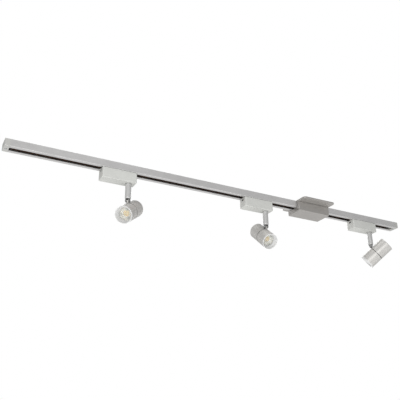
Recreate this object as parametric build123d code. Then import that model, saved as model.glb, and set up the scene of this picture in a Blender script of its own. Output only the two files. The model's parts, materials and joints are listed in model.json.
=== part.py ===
from build123d import *
import os

# Single-circuit track light: one ceiling track, a canopy with the mains feed, and three spot heads.
# Millimetres. X runs along the track, Y across it and Z up.
# The origin is on the ceiling, midway along the track.

# --- track ---
TRACK_LENGTH = 1245.0
TRACK_WIDTH = 35.0
TRACK_HEIGHT = 19.0
END_CAP_LENGTH = 13.0
EXTRUSION_LENGTH = TRACK_LENGTH - 2 * END_CAP_LENGTH
TRACK_WALL = 1.5
SLOT_WIDTH = 15.5
TRACK_EDGE_RADIUS = 0.8
LINER_RIB = (7.05, 7.95)  # inner and outer |Y| of the two ribs that locate the liners
LINER_RIB_DROP = 3.0
LINER_INNER_Y = 8.05
LINER_SIDE_GAP = 0.05
LINER_TOP = -1.6
LINER_BOTTOM = -15.5
LINER_SHORTENING = 8.0
GROOVE_Z = (-13.5, -9.5)
GROOVE_DEPTH_Y = 12.6
CONDUCTOR_SEAT_Y = 13.5
CONDUCTOR_SEAT_Z = (-14.0, -9.0)
FIT_GAP = 0.05
EARTH_STRIP_WIDTH = 10.0
EARTH_STRIP_THICKNESS = 0.75
TRACK_HOLE_RADIUS = 2.5
TRACK_HOLE_X = (-560.0, -180.0, 180.0, 560.0)
STRIP_HOLE_RADIUS = 3.0
TRACK_INSIDE_TOP = -TRACK_WALL
LIP_TOP = -TRACK_HEIGHT + TRACK_WALL

# --- end caps ---
CAP_EDGE_RADIUS = 1.2
CAP_PLUG_LENGTH = 10.0
CAP_PLUG_WIDTH = 13.6
CAP_PLUG_Z = (-9.0, -4.7)
CAP_SCREW_FROM_END = 6.5
CAP_SCREW_RADIUS = 1.4
CAP_SCREW_LENGTH = 9.0
CAP_SCREW_HEAD_RADIUS = 2.9
CAP_SCREW_HEAD_HEIGHT = 1.4

# --- canopy and feed ---
CANOPY_X = 272.5
CANOPY_SIZE = 114.0
CANOPY_CORNER_RADIUS = 9.0
CANOPY_DEPTH = 4.5
CANOPY_WALL = 2.0
COVER_LENGTH = 110.0
COVER_WIDTH = 56.0
COVER_DEPTH = 32.6
COVER_EDGE_RADIUS = 1.6
TRACK_CUTOUT_GAP = 0.3
STRAP_LENGTH = 92.0
STRAP_WIDTH = 16.0
STRAP_THICKNESS = 1.5
BOX_SCREW_SPACING = 88.9
BOX_SLOT_LENGTH = 10.0
BOX_SLOT_RADIUS = 2.3
CANOPY_SCREW_OFFSET_X = 36.0
CANOPY_SCREW_RADIUS = 1.9
CANOPY_SCREW_HEAD_RADIUS = 3.4
CANOPY_SCREW_HEAD_HEIGHT = 1.8
FEED_LENGTH = 66.0
FEED_WIDTH = 27.0
FEED_Z = (-28.6, -19.3)
FEED_NECK_LENGTH = 50.0
FEED_BLADE_OFFSET_X = 12.0
TERMINAL_PITCH = 18.0
TERMINAL_SCREW_RADIUS = 2.4
WIRE_ENTRY_RADIUS = 2.0

# --- driver box and track adapter of each head ---
BOX_LENGTH = 93.0
BOX_WIDTH = 32.0
BOX_HEIGHT = 28.0
BOX_TOP = -TRACK_HEIGHT - 0.4
BOX_BOTTOM = BOX_TOP - BOX_HEIGHT
BOX_WALL = 1.8
BOX_CORNER_RADIUS = 3.5
BOX_BOTTOM_RADIUS = 1.2
BOX_FLOOR = BOX_BOTTOM + BOX_WALL
LID_GAP = 0.2
LID_THICKNESS = 1.8
NECK_WIDTH = 14.4
NECK_TOP = -6.0
NECK_X = (16.0, 84.0)  # from the box's left end
LUG_LENGTH = 12.0
LUG_STARTS = (20.0, 68.0)
LUG_REACH = 11.5
LUG_Z = (-17.3, -15.7)
BLADE_THICKNESS = 0.8
BLADE_LENGTH = 9.0
BLADE_Z = -11.5
BLADE_ROOT_Y = 3.0
BLADE_TIP_Y = 12.4
LINE_BLADE_X = 36.0
NEUTRAL_BLADE_X = 55.0
EARTH_LEAF_X = 50.0
EARTH_LEAF_SIZE = (1.6, 4.0)
EARTH_LEAF_Z = (-9.0, -2.6)
LID_SCREW_PLACES = ((6.2, -10.4), (87.0, 10.4))  # from the box's left end, and Y
LID_SCREW_RADIUS = 1.2
LID_SCREW_HEAD_RADIUS = 2.2
LID_SCREW_HEAD_HEIGHT = 1.1
LID_SCREW_LENGTH = 8.0
BOSS_RADIUS = 2.8
TAB_X = (4.0, 10.0)
TAB_HALF_WIDTH = 5.0
TAB_Z = (-24.6, -2.7)
TAB_FINGER_REACH = 3.0
TAB_FINGER_HALF_WIDTH = 4.6
TAB_FINGER_THICKNESS = 2.4
TAB_PAD_HEIGHT = 1.2
TAB_TRAVEL = 3.0
TAB_CLEARANCE = 0.4
BOARD_X = (14.0, 61.5)
BOARD_HALF_WIDTH = 12.5
BOARD_THICKNESS = 1.6
BOARD_BOTTOM = -41.6
TRANSFORMER_X = (33.0, 47.0)
TRANSFORMER_HALF_WIDTH = 7.5
TRANSFORMER_HEIGHT = 12.0
CORE_X = (36.0, 44.0)
CORE_HALF_WIDTH = 9.5
CORE_RISE = (4.0, 9.0)
INPUT_CAPACITOR_PLACE = (24.0, 6.0)
OUTPUT_CAPACITOR_PLACE = (53.0, 6.0)
CAPACITOR_RADIUS = 4.0
INPUT_CAPACITOR_LENGTH = 14.0
OUTPUT_CAPACITOR_HEIGHT = 13.0
FILM_CAPACITOR_X = (17.0, 30.0)
FILM_CAPACITOR_Y = (-8.5, -3.5)
FILM_CAPACITOR_HEIGHT = 9.0
COIL_PLACE = (53.0, -5.0)
COIL_RADIUS = 4.5
COIL_HEIGHT = 8.0
TERMINALS_X = (57.0, 61.0)
TERMINALS_Y = (-12.0, -10.0)
TERMINALS_HEIGHT = 6.0
STOP_BOSS_Y = (9.3, 12.6)
STOP_BOSS_WIDTH = 2.0
STOP_BOSS_HEIGHT = 3.6

# --- swivel stem and knuckle ---
STEM_FROM_BOX_END = 17.5
STEM_RADIUS = 7.75
STEM_BORE_RADIUS = 3.2
STEM_NECK_RADIUS = 5.0
STEM_NECK_RISE = 6.0
SWIVEL_CLEARANCE = 0.05
STEM_TOP_GAP = 0.3
STEM_END_RADIUS = 3.0
NUT_RADIUS = 8.5
NUT_THICKNESS = 3.0
NUT_LUG_REACH = 12.0
NUT_LUG_WIDTH = 2.0
PIVOT_Z = BOX_BOTTOM - 46.0
STEM_END_ABOVE_PIVOT = 4.6
FORK_BASE_RADIUS = 6.4
FORK_BASE_THICKNESS = 1.0
FORK_EAR_RADIUS = 4.5
FORK_EAR_Y = (2.5, 5.3)
FORK_SPIGOT_LENGTH = 6.0
TONGUE_HALF_THICKNESS = 2.3
TONGUE_RADIUS = 3.4
PIVOT_RADIUS = 1.5
PIVOT_CLEARANCE = 0.05
PIVOT_HEAD_RADIUS = 2.9
PIVOT_HEAD_THICKNESS = 1.6
PIVOT_TIP = 6.0

# --- lamp (its own axis: 0 at the seam between the two shells, positive towards the light) ---
LAMP_RADIUS = 22.5
LAMP_REAR = -43.0
LAMP_FRONT = 41.0
SEAM_GAP = 2.0
SEAM_FLOOR_RADIUS = 19.4
SHELL_WALL = 1.9
LAMP_EDGE_RADIUS = 1.6
PIVOT_ALONG_LAMP = -4.0
PIVOT_ABOVE_LAMP = 5.5
SPIGOT_START = -3.0
SPIGOT_END = 7.0
SPIGOT_BORE_RADIUS = 18.2
REAR_WALL = 2.6
SINK_RADIUS = 18.0
SINK_CORE_RADIUS = 11.0
SINK_PLATE = (-7.0, -3.5)
FIN_COUNT = 12
FIN_THICKNESS = 1.4
BEZEL_LENGTH = 4.0
BEZEL_BACK = 27.5
BEZEL_MOUTH_RADIUS = 21.2
BEZEL_NECK_RADIUS = 15.0
BEZEL_EDGE_RADIUS = 0.5
LENS_RADIUS = 16.2
LENS_SEAT_RADIUS = 16.3
LENS_FRONT = 30.5
LENS_THICKNESS = 2.2
REFLECTOR_WALL = 0.7
REFLECTOR_MOUTH_RADIUS = 15.7
REFLECTOR_THROAT_RADIUS = 10.2
LED_BOARD_BACK = 17.5
LED_BOARD_RADIUS = 14.0
LED_BOARD_THICKNESS = 1.6
LED_RADIUS = 8.5
LED_THICKNESS = 0.8

# name, left end of the driver box on X, heading of the lamp about Z, tilt of the lamp below level
HEADS = (
    ("left", -382.0, -135.0, 32.0),
    ("middle", 38.5, -91.0, 40.0),
    ("right", 434.0, 130.0, 38.0),
)


def span(x, y, z):
    """A block between two X, two Y and two Z values."""
    size = (x[1] - x[0], y[1] - y[0], z[1] - z[0])
    centre = (sum(x) / 2, sum(y) / 2, sum(z) / 2)
    return Pos(*centre) * Box(*size)


def post(x, y, z, radius):
    """An upright cylinder between two Z values."""
    return Pos(x, y, sum(z) / 2) * Cylinder(radius, z[1] - z[0])


def rod(start, end, radius):
    """A cylinder along X between two X values."""
    return Pos((start + end) / 2, 0, 0) * Rot(0, 90, 0) * Cylinder(radius, end - start)


def pipe(start, end, outer, inner):
    """A tube along X between two X values."""
    return rod(start, end, outer) - rod(start - 1, end + 1, inner)


def cone(start, end, start_radius, end_radius):
    """A solid cone frustum along X between two X values."""
    return Pos((start + end) / 2, 0, 0) * Rot(0, 90, 0) * Cone(start_radius, end_radius, end - start)


def mirrored(shape):
    """A shape and its mirror image across the track's middle plane, as separate solids."""
    return [shape, mirror(shape, about=Plane.XZ)]


def group(solids):
    """Separate solids held together as one node."""
    return Compound(children=[part for item in solids for part in item.solids()])


def long_edges(shape, axis, length):
    """Straight edges of a shape that lie along an axis and have at least a given length."""
    return [edge for edge in shape.edges().filter_by(axis) if edge.length >= length]


# --- track ---


def track_extrusion():
    half_length = EXTRUSION_LENGTH / 2
    half_width = TRACK_WIDTH / 2
    along = (-half_length, half_length)
    body = span(along, (-half_width, half_width), (-TRACK_HEIGHT, 0))
    body = fillet(long_edges(body, Axis.X, EXTRUSION_LENGTH), TRACK_EDGE_RADIUS)
    inside = half_width - TRACK_WALL
    past_ends = (-half_length - 1, half_length + 1)
    body -= span(past_ends, (-inside, inside), (LIP_TOP, TRACK_INSIDE_TOP))
    body -= span(past_ends, (-SLOT_WIDTH / 2, SLOT_WIDTH / 2), (-TRACK_HEIGHT - 1, LIP_TOP + 1))
    for side in (-1, 1):
        rib_y = sorted(side * y for y in LINER_RIB)
        body += span(along, rib_y, (TRACK_INSIDE_TOP - LINER_RIB_DROP, TRACK_INSIDE_TOP))
    for x in TRACK_HOLE_X:
        body -= post(x, 0, (-TRACK_WALL - 1, 1), TRACK_HOLE_RADIUS)
    return body


def insulator_liners():
    half_length = EXTRUSION_LENGTH / 2 - LINER_SHORTENING
    along = (-half_length, half_length)
    past_ends = (-half_length - 1, half_length + 1)
    outer_y = TRACK_WIDTH / 2 - TRACK_WALL - LINER_SIDE_GAP
    liner = span(along, (LINER_INNER_Y, outer_y), (LINER_BOTTOM, LINER_TOP))
    liner -= span(past_ends, (LINER_INNER_Y - 1, GROOVE_DEPTH_Y), GROOVE_Z)
    liner -= span(past_ends, (GROOVE_DEPTH_Y - 1, CONDUCTOR_SEAT_Y), CONDUCTOR_SEAT_Z)
    return group(mirrored(liner))


def conductors():
    half_length = EXTRUSION_LENGTH / 2 - LINER_SHORTENING
    seat_y = (GROOVE_DEPTH_Y + FIT_GAP, CONDUCTOR_SEAT_Y - FIT_GAP)
    seat_z = (CONDUCTOR_SEAT_Z[0] + FIT_GAP, CONDUCTOR_SEAT_Z[1] - FIT_GAP)
    return group(mirrored(span((-half_length, half_length), seat_y, seat_z)))


def earth_strip():
    half_length = EXTRUSION_LENGTH / 2 - CAP_PLUG_LENGTH
    top = TRACK_INSIDE_TOP - FIT_GAP
    half_width = EARTH_STRIP_WIDTH / 2
    strip = span((-half_length, half_length), (-half_width, half_width), (top - EARTH_STRIP_THICKNESS, top))
    for x in TRACK_HOLE_X:
        strip -= post(x, 0, (top - EARTH_STRIP_THICKNESS - 1, top + 1), STRIP_HOLE_RADIUS)
    return strip


def cap_screw_x():
    return TRACK_LENGTH / 2 - CAP_SCREW_FROM_END


def end_cap():
    """The cap at the +X end; the other is its mirror image."""
    inner = EXTRUSION_LENGTH / 2 + FIT_GAP
    outer = TRACK_LENGTH / 2
    half_width = TRACK_WIDTH / 2
    cap = span((inner, outer), (-half_width, half_width), (-TRACK_HEIGHT, 0))
    cap = fillet(long_edges(cap, Axis.X, END_CAP_LENGTH / 2), TRACK_EDGE_RADIUS)
    cap = fillet(cap.faces().sort_by(Axis.X)[-1].edges(), CAP_EDGE_RADIUS)
    plug_y = (-CAP_PLUG_WIDTH / 2, CAP_PLUG_WIDTH / 2)
    cap += span((inner - CAP_PLUG_LENGTH, inner + 1), plug_y, CAP_PLUG_Z)
    x = cap_screw_x()
    head_top = -TRACK_HEIGHT + CAP_SCREW_HEAD_HEIGHT
    cap -= post(x, 0, (-TRACK_HEIGHT - 1, head_top + FIT_GAP), CAP_SCREW_HEAD_RADIUS + 0.3)
    screw_top = -TRACK_HEIGHT + CAP_SCREW_LENGTH
    cap -= post(x, 0, (-TRACK_HEIGHT - 1, screw_top + 0.3), CAP_SCREW_RADIUS + FIT_GAP)
    return cap


def end_caps():
    cap = end_cap()
    return group([cap, mirror(cap, about=Plane.YZ)])


def cross_recess(x, y, z, size):
    """The cross cut of a screwdriver recess, to be taken out of a head."""
    width = size / 4
    arms = span((x - size / 2, x + size / 2), (y - width / 2, y + width / 2), z)
    return arms + span((x - width / 2, x + width / 2), (y - size / 2, y + size / 2), z)


def upward_screw(x, y, head_bottom, head_radius, head_height, radius, length):
    """A pan-head screw driven upwards from below."""
    screw = post(x, y, (head_bottom, head_bottom + head_height), head_radius)
    screw = fillet(screw.edges().sort_by(Axis.Z)[0], head_height * 0.4)
    screw += post(x, y, (head_bottom + head_height - 0.1, head_bottom + length), radius)
    return screw - cross_recess(x, y, (head_bottom - 1, head_bottom + head_height * 0.6), head_radius * 1.1)


def end_cap_screws():
    places = (-cap_screw_x(), cap_screw_x())
    bottom = -TRACK_HEIGHT
    size = (CAP_SCREW_HEAD_RADIUS, CAP_SCREW_HEAD_HEIGHT, CAP_SCREW_RADIUS, CAP_SCREW_LENGTH)
    return group([upward_screw(x, 0, bottom, *size) for x in places])


# --- canopy and feed ---


def canopy_cover():
    half = CANOPY_SIZE / 2
    x0 = CANOPY_X - half
    x1 = CANOPY_X + half
    plate = span((x0, x1), (-half, half), (-CANOPY_DEPTH, 0))
    plate = fillet(plate.edges().filter_by(Axis.Z), CANOPY_CORNER_RADIUS)
    plate = fillet(plate.faces().sort_by(Axis.Z)[0].edges(), 1.0)
    cover_x = (CANOPY_X - COVER_LENGTH / 2, CANOPY_X + COVER_LENGTH / 2)
    cover = span(cover_x, (-COVER_WIDTH / 2, COVER_WIDTH / 2), (-COVER_DEPTH, -CANOPY_DEPTH / 2))
    cover = fillet(cover.edges().filter_by(Axis.Z), COVER_EDGE_RADIUS)
    cover = fillet(cover.faces().sort_by(Axis.Z)[0].edges(), COVER_EDGE_RADIUS - 0.4)
    body = plate + cover
    inner = half - CANOPY_WALL
    hollow_x = (CANOPY_X - inner, CANOPY_X + inner)
    hollow = span(hollow_x, (-inner, inner), (-CANOPY_DEPTH + CANOPY_WALL, 1))
    body -= fillet(hollow.edges().filter_by(Axis.Z), CANOPY_CORNER_RADIUS - CANOPY_WALL)
    channel_x = (cover_x[0] + CANOPY_WALL, cover_x[1] - CANOPY_WALL)
    channel_half = COVER_WIDTH / 2 - CANOPY_WALL
    body -= span(channel_x, (-channel_half, channel_half), (-COVER_DEPTH + CANOPY_WALL, 1))
    track_half = TRACK_WIDTH / 2 + TRACK_CUTOUT_GAP
    body -= span((x0 - 1, x1 + 1), (-track_half, track_half), (-TRACK_HEIGHT - TRACK_CUTOUT_GAP, 1))
    for x, y in canopy_screw_places():
        body -= post(x, y, (-CANOPY_DEPTH - 1, 1), CANOPY_SCREW_RADIUS + 0.2)
    return body


def canopy_screw_places():
    y = BOX_SCREW_SPACING / 2
    return ((CANOPY_X - CANOPY_SCREW_OFFSET_X, y), (CANOPY_X + CANOPY_SCREW_OFFSET_X, -y))


def mounting_straps():
    """Two steel straps, one each side of the track, slotted for the ceiling box's screws."""
    centre_y = BOX_SCREW_SPACING / 2
    straps = []
    for side in (-1, 1):
        along = (CANOPY_X - STRAP_LENGTH / 2, CANOPY_X + STRAP_LENGTH / 2)
        across = (side * centre_y - STRAP_WIDTH / 2, side * centre_y + STRAP_WIDTH / 2)
        strap = span(along, across, (-STRAP_THICKNESS, 0))
        strap = fillet(strap.edges().filter_by(Axis.Z), 2.0)
        slot = SlotOverall(BOX_SLOT_LENGTH, 2 * BOX_SLOT_RADIUS, rotation=90)
        strap -= Pos(CANOPY_X, side * centre_y, -STRAP_THICKNESS - 1) * extrude(slot, STRAP_THICKNESS + 2)
        for x, y in canopy_screw_places():
            if y * side > 0:
                strap -= post(x, y, (-STRAP_THICKNESS - 1, 1), CANOPY_SCREW_RADIUS + FIT_GAP)
        straps.append(strap)
    return group(straps)


def canopy_screws():
    bottom = -CANOPY_DEPTH - CANOPY_SCREW_HEAD_HEIGHT - FIT_GAP
    length = -bottom - 0.3
    size = (CANOPY_SCREW_HEAD_RADIUS, CANOPY_SCREW_HEAD_HEIGHT, CANOPY_SCREW_RADIUS, length)
    return group([upward_screw(x, y, bottom, *size) for x, y in canopy_screw_places()])


def neck_with_lugs(x_range, lug_starts, top_of_box):
    """The key that stands in the track's slot, with lugs that ride on the track's lips."""
    neck = span(x_range, (-NECK_WIDTH / 2, NECK_WIDTH / 2), (top_of_box, NECK_TOP))
    for start in lug_starts:
        neck += span((start, start + LUG_LENGTH), (-LUG_REACH, LUG_REACH), LUG_Z)
    return neck


def blade_pocket(x, side):
    """Clearance in a neck for one contact blade."""
    along = (x - FIT_GAP, x + BLADE_LENGTH + FIT_GAP)
    across = sorted((side * (BLADE_ROOT_Y - FIT_GAP), side * (NECK_WIDTH / 2 + 1)))
    half = BLADE_THICKNESS / 2 + FIT_GAP
    return span(along, across, (BLADE_Z - half, BLADE_Z + half))


def contact_blade(x, side):
    """A sprung brass blade that reaches sideways into a liner's groove."""
    across = sorted((side * BLADE_ROOT_Y, side * BLADE_TIP_Y))
    half = BLADE_THICKNESS / 2
    blade = span((x, x + BLADE_LENGTH), across, (BLADE_Z - half, BLADE_Z + half))
    tip = [edge for edge in blade.edges().filter_by(Axis.Z) if abs(edge.center().Y) > BLADE_TIP_Y - 1]
    return fillet(tip, 2.0)


def earth_leaf(x):
    half = EARTH_LEAF_SIZE[1] / 2
    return span((x, x + EARTH_LEAF_SIZE[0]), (-half, half), EARTH_LEAF_Z)


def earth_pocket(x):
    half = EARTH_LEAF_SIZE[1] / 2 + FIT_GAP
    along = (x - FIT_GAP, x + EARTH_LEAF_SIZE[0] + FIT_GAP)
    return span(along, (-half, half), (EARTH_LEAF_Z[0] - FIT_GAP, NECK_TOP + 1))


def terminal_places():
    return [CANOPY_X + step * TERMINAL_PITCH for step in (-1, 0, 1)]


def feed_connector():
    half = FEED_LENGTH / 2
    body = span((CANOPY_X - half, CANOPY_X + half), (-FEED_WIDTH / 2, FEED_WIDTH / 2), FEED_Z)
    body = fillet(body.edges().filter_by(Axis.Z), 2.0)
    neck_half = FEED_NECK_LENGTH / 2
    lug_starts = (CANOPY_X - neck_half + 1, CANOPY_X + neck_half - LUG_LENGTH - 1)
    body += neck_with_lugs((CANOPY_X - neck_half, CANOPY_X + neck_half), lug_starts, FEED_Z[1] - 1)
    body -= blade_pocket(CANOPY_X - FEED_BLADE_OFFSET_X, -1)
    body -= blade_pocket(CANOPY_X + FEED_BLADE_OFFSET_X - BLADE_LENGTH, 1)
    body -= earth_pocket(CANOPY_X)
    entry_z = sum(FEED_Z) / 2 + 0.5
    for x in terminal_places():
        body -= post(x, 0, (FEED_Z[0] - 1, FEED_Z[0] + 5), TERMINAL_SCREW_RADIUS + FIT_GAP)
        entry = Pos(x, -FEED_WIDTH / 2, entry_z) * Rot(90, 0, 0) * Cylinder(WIRE_ENTRY_RADIUS, 12)
        body -= entry
    return body


def feed_contacts():
    line = contact_blade(CANOPY_X - FEED_BLADE_OFFSET_X, -1)
    neutral = contact_blade(CANOPY_X + FEED_BLADE_OFFSET_X - BLADE_LENGTH, 1)
    return group([line, neutral, earth_leaf(CANOPY_X)])


def terminal_screws():
    screws = []
    for x in terminal_places():
        z = (FEED_Z[0] + 0.4, FEED_Z[0] + 4.8)
        screw = post(x, 0, z, TERMINAL_SCREW_RADIUS)
        slot = span((x - 3, x + 3), (-0.35, 0.35), (z[0] - 1, z[0] + 1.0))
        screws.append(screw - slot)
    return group(screws)


# --- heads: driver box ---


def driver_housing(x0):
    box_x = (x0, x0 + BOX_LENGTH)
    half = BOX_WIDTH / 2
    shell = span(box_x, (-half, half), (BOX_BOTTOM, BOX_TOP))
    shell = fillet(shell.edges().filter_by(Axis.Z), BOX_CORNER_RADIUS)
    shell = fillet(shell.faces().sort_by(Axis.Z)[0].edges(), BOX_BOTTOM_RADIUS)
    inner_x = (x0 + BOX_WALL, x0 + BOX_LENGTH - BOX_WALL)
    hollow = span(inner_x, (-half + BOX_WALL, half - BOX_WALL), (BOX_FLOOR, BOX_TOP + 1))
    shell -= fillet(hollow.edges().filter_by(Axis.Z), BOX_CORNER_RADIUS - BOX_WALL)
    stem_x = stem_place(x0)
    shell -= post(stem_x, 0, (BOX_BOTTOM - 1, BOX_FLOOR + 1), STEM_NECK_RADIUS + SWIVEL_CLEARANCE)
    stop_x = (stem_x - STOP_BOSS_WIDTH / 2, stem_x + STOP_BOSS_WIDTH / 2)
    shell += span(stop_x, STOP_BOSS_Y, (BOX_FLOOR - 0.5, BOX_FLOOR + STOP_BOSS_HEIGHT))
    for x, y in LID_SCREW_PLACES:
        shell += lid_boss(x0 + x, y)
    for x in BOARD_X:
        for y in (-1, 1):
            shell += board_post(x0 + x, y * BOARD_HALF_WIDTH, x == BOARD_X[0], y < 0)
    window_z = (TAB_Z[0] - TAB_TRAVEL - TAB_CLEARANCE, TAB_Z[0] + TAB_FINGER_THICKNESS + TAB_CLEARANCE)
    window_half = TAB_FINGER_HALF_WIDTH + TAB_CLEARANCE
    shell -= span((x0 - 1, x0 + BOX_WALL + 0.5), (-window_half, window_half), window_z)
    return shell


def stem_place(x0):
    return x0 + BOX_LENGTH - STEM_FROM_BOX_END


def lid_boss(x, y):
    """A screw boss that rises from the box's floor to the underside of the lid."""
    top = BOX_TOP - LID_THICKNESS - FIT_GAP
    boss = post(x, y, (BOX_FLOOR - 0.5, top), BOSS_RADIUS)
    return boss - post(x, y, (top - LID_SCREW_LENGTH, top + 1), LID_SCREW_RADIUS + FIT_GAP)


def board_post(x, y, at_left, at_near_side):
    """A short square post under one corner of the driver board."""
    size = 4.0
    along = (x, x + size) if at_left else (x - size, x)
    across = (y, y + size) if at_near_side else (y - size, y)
    return span(along, across, (BOX_FLOOR - 0.5, BOARD_BOTTOM - FIT_GAP))


def track_adapter(x0):
    """The lid of the driver box, with the key that runs in the track."""
    half = BOX_WIDTH / 2 - BOX_WALL - LID_GAP
    lid_x = (x0 + BOX_WALL + LID_GAP, x0 + BOX_LENGTH - BOX_WALL - LID_GAP)
    lid = span(lid_x, (-half, half), (BOX_TOP - LID_THICKNESS, BOX_TOP))
    lid = fillet(lid.edges().filter_by(Axis.Z), BOX_CORNER_RADIUS - BOX_WALL)
    neck_x = (x0 + NECK_X[0], x0 + NECK_X[1])
    lid += neck_with_lugs(neck_x, [x0 + start for start in LUG_STARTS], BOX_TOP - 1)
    lid -= blade_pocket(x0 + LINE_BLADE_X, -1)
    lid -= blade_pocket(x0 + NEUTRAL_BLADE_X, 1)
    lid -= earth_pocket(x0 + EARTH_LEAF_X)
    notch_x = (lid_x[0] - 1, x0 + TAB_X[1] + TAB_CLEARANCE)
    notch_half = TAB_HALF_WIDTH + TAB_CLEARANCE
    lid -= span(notch_x, (-notch_half, notch_half), (BOX_TOP - LID_THICKNESS - 1, BOX_TOP + 1))
    for x, y in LID_SCREW_PLACES:
        lid -= post(x0 + x, y, (BOX_TOP - 3, BOX_TOP + 1), LID_SCREW_RADIUS + FIT_GAP)
        head_z = (BOX_TOP - LID_SCREW_HEAD_HEIGHT - FIT_GAP, BOX_TOP + 1)
        lid -= post(x0 + x, y, head_z, LID_SCREW_HEAD_RADIUS + 0.2)
    return lid


def contact_blades(x0):
    line = contact_blade(x0 + LINE_BLADE_X, -1)
    neutral = contact_blade(x0 + NEUTRAL_BLADE_X, 1)
    return group([line, neutral, earth_leaf(x0 + EARTH_LEAF_X)])


def lid_screws(x0):
    screws = []
    for x, y in LID_SCREW_PLACES:
        screw = post(x0 + x, y, (BOX_TOP - LID_SCREW_HEAD_HEIGHT, BOX_TOP), LID_SCREW_HEAD_RADIUS)
        screw += post(x0 + x, y, (BOX_TOP - LID_SCREW_LENGTH, BOX_TOP - 0.5), LID_SCREW_RADIUS)
        recess_z = (BOX_TOP - LID_SCREW_HEAD_HEIGHT * 0.6, BOX_TOP + 1)
        screws.append(screw - cross_recess(x0 + x, y, recess_z, LID_SCREW_HEAD_RADIUS * 1.1))
    return group(screws)


def release_tab(x0):
    """The finger tab at the box's left end; its pad brakes the head against the track's roof."""
    half = TAB_HALF_WIDTH
    shank = span((x0 + TAB_X[0], x0 + TAB_X[1]), (-half, half), TAB_Z)
    pad_x = (x0 + TAB_X[0] - 1, x0 + TAB_X[1] + 1)
    shank += span(pad_x, (-half, half), (TAB_Z[1] - TAB_PAD_HEIGHT, TAB_Z[1]))
    finger_x = (x0 - TAB_FINGER_REACH, x0 + TAB_X[0] + 1)
    finger_z = (TAB_Z[0], TAB_Z[0] + TAB_FINGER_THICKNESS)
    finger = span(finger_x, (-TAB_FINGER_HALF_WIDTH, TAB_FINGER_HALF_WIDTH), finger_z)
    finger = fillet(finger.faces().sort_by(Axis.X)[0].edges(), 0.8)
    return shank + finger


def driver_board(x0):
    """The LED driver: a circuit board with its transformer, capacitors, coil and connectors."""
    top = BOARD_BOTTOM + BOARD_THICKNESS
    rest = top + FIT_GAP

    def block(x, y, rise):
        return span((x0 + x[0], x0 + x[1]), y, (rest + rise[0], rest + rise[1]))

    def can(place, radius, height):
        return post(x0 + place[0], place[1], (rest, rest + height), radius)

    board = block(BOARD_X, (-BOARD_HALF_WIDTH, BOARD_HALF_WIDTH), (BOARD_BOTTOM - rest, top - rest))
    winding_y = (-TRANSFORMER_HALF_WIDTH, TRANSFORMER_HALF_WIDTH)
    winding = block(TRANSFORMER_X, winding_y, (0, TRANSFORMER_HEIGHT))
    core = block(CORE_X, (-CORE_HALF_WIDTH, CORE_HALF_WIDTH), CORE_RISE)
    input_x, input_y = INPUT_CAPACITOR_PLACE
    lying = Pos(x0 + input_x, input_y, rest + CAPACITOR_RADIUS + FIT_GAP) * Rot(0, 90, 0)
    input_capacitor = lying * Cylinder(CAPACITOR_RADIUS, INPUT_CAPACITOR_LENGTH)
    film_capacitor = block(FILM_CAPACITOR_X, FILM_CAPACITOR_Y, (0, FILM_CAPACITOR_HEIGHT))
    output_capacitor = can(OUTPUT_CAPACITOR_PLACE, CAPACITOR_RADIUS, OUTPUT_CAPACITOR_HEIGHT)
    coil = can(COIL_PLACE, COIL_RADIUS, COIL_HEIGHT)
    terminals = block(TERMINALS_X, TERMINALS_Y, (0, TERMINALS_HEIGHT))
    return group([board, winding + core, input_capacitor, film_capacitor, output_capacitor, coil, terminals])


# --- heads: stem and knuckle, in place ---


def stem_frame(x0, heading):
    """A frame on the swivel axis at the tilt pivot, with X along the lamp's heading."""
    return Pos(stem_place(x0), 0, PIVOT_Z) * Rot(0, 0, heading)


def swivel_stem(x0):
    x = stem_place(x0)
    top = BOX_BOTTOM - STEM_TOP_GAP
    bottom = PIVOT_Z + STEM_END_ABOVE_PIVOT
    stem = post(x, 0, (bottom, top), STEM_RADIUS)
    stem = fillet(stem.edges().sort_by(Axis.Z)[0], STEM_END_RADIUS)
    stem += post(x, 0, (top - 1, BOX_FLOOR + STEM_NECK_RISE), STEM_NECK_RADIUS)
    return stem - post(x, 0, (bottom - 1, 0), STEM_BORE_RADIUS)


def swivel_nut(x0, heading):
    """The nut that holds the stem up; its lug meets the stop boss in the box at each end of the swivel."""
    low = BOX_FLOOR - PIVOT_Z + STEM_TOP_GAP
    z = (low, low + NUT_THICKNESS)
    nut = post(0, 0, z, NUT_RADIUS)
    half = NUT_LUG_WIDTH / 2
    nut += span((NUT_RADIUS - 2, NUT_LUG_REACH), (-half, half), z)
    nut -= post(0, 0, (low - 1, low + NUT_THICKNESS + 1), STEM_NECK_RADIUS + FIT_GAP)
    return stem_frame(x0, heading) * nut


def fork_ear(side):
    """One ear of the knuckle's fork, with its pivot hole."""
    across = sorted(side * y for y in FORK_EAR_Y)
    top = STEM_END_ABOVE_PIVOT - FIT_GAP - FORK_BASE_THICKNESS / 2
    ear = span((-FORK_EAR_RADIUS, FORK_EAR_RADIUS), across, (0, top))
    thickness = across[1] - across[0]
    pivot = Pos(0, sum(across) / 2, 0) * Rot(90, 0, 0)
    hole = pivot * Cylinder(PIVOT_RADIUS + PIVOT_CLEARANCE, thickness + 2)
    return ear + pivot * Cylinder(FORK_EAR_RADIUS, thickness) - hole


def knuckle_fork(x0, heading):
    top = STEM_END_ABOVE_PIVOT - FIT_GAP
    fork = post(0, 0, (top - FORK_BASE_THICKNESS, top), FORK_BASE_RADIUS)
    fork += post(0, 0, (top - 0.5, top + FORK_SPIGOT_LENGTH), STEM_BORE_RADIUS - FIT_GAP)
    fork += fork_ear(-1) + fork_ear(1)
    return stem_frame(x0, heading) * fork


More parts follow.
